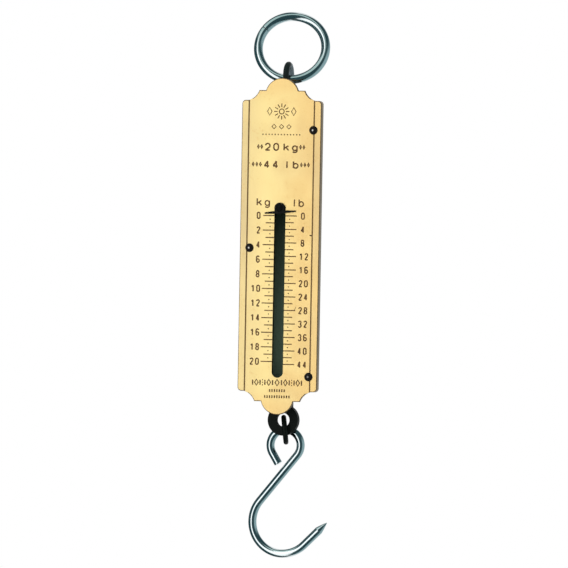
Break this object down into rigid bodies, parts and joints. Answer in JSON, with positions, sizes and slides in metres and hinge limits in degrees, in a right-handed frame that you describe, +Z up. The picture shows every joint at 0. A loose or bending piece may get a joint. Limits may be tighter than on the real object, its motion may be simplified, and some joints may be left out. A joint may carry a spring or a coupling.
{
  "type": "pocket spring balance",
  "caption": "Hanging pocket spring balance: brass face with a slotted kilogram and pound scale, pointer on a sprung draw bar, suspension ring above and swinging S-hook below.",
  "frame": {"origin": "the point that the balance hangs from: the inside of the suspension ring at its top, as the ring leans in the rest pose", "axes": "+Z up along the line of the load, +X to the right of the face, +Y from the face to the back"},
  "size_m": [0.0327, 0.021, 0.2051],
  "materials": {
    "brass_face": "satin, with darkened engraving",
    "plated_steel": "bright nickel plate over drawn wire",
    "black_steel": "black stove enamel",
    "black_rivet": "blackened, rubbed bright on the domes",
    "black_pointer": "dull black enamel",
    "oiled_steel": "plain turned steel, oiled",
    "spring_steel": "drawn spring wire"
  },
  "bodies": {
    "ring": {"suspension_ring": "plated_steel"},
    "casing": {"eye_bolt": "black_steel", "top_plug": "oiled_steel", "plug_pin": "oiled_steel", "back_casing": "black_steel", "face_plate": "brass_face", "face_rivet_top": "black_rivet", "face_rivet_middle": "black_rivet", "face_rivet_bottom": "black_rivet", "bottom_guide": "oiled_steel", "guide_pin": "oiled_steel", "spring": "spring_steel"},
    "draw_bar": {"draw_bar": "black_steel", "pointer": "black_pointer", "pointer_spacer": "oiled_steel", "pointer_rivet": "black_rivet"},
    "link": {"connecting_link": "black_steel"},
    "hook": {"load_hook": "plated_steel"}
  },
  "joints": [
    {"name": "ring_swing", "type": "hinge", "parent": "ring", "child": "casing", "pos_m": [0.00162, -0.00834, -0.02213], "axis": [0.9816, 0.1908, 0], "range_deg": [-130, 130]},
    {"name": "bar_slide", "type": "slide", "parent": "casing", "child": "draw_bar", "axis": [0, 0, -1], "range_m": [0, 0.06149], "stiffness_N_per_m": 3584, "springref_m": -0.001, "deforming": ["spring"]},
    {"name": "link_swing", "type": "hinge", "parent": "draw_bar", "child": "link", "pos_m": [0.00127, -0.00679, -0.14896], "axis": [0, 1, 0], "range_deg": [-58, 72]},
    {"name": "hook_swing", "type": "hinge", "parent": "link", "child": "hook", "pos_m": [0.00087, -0.00539, -0.15363], "axis": [1, 0, 0], "range_deg": [-5, 120]}
  ]
}
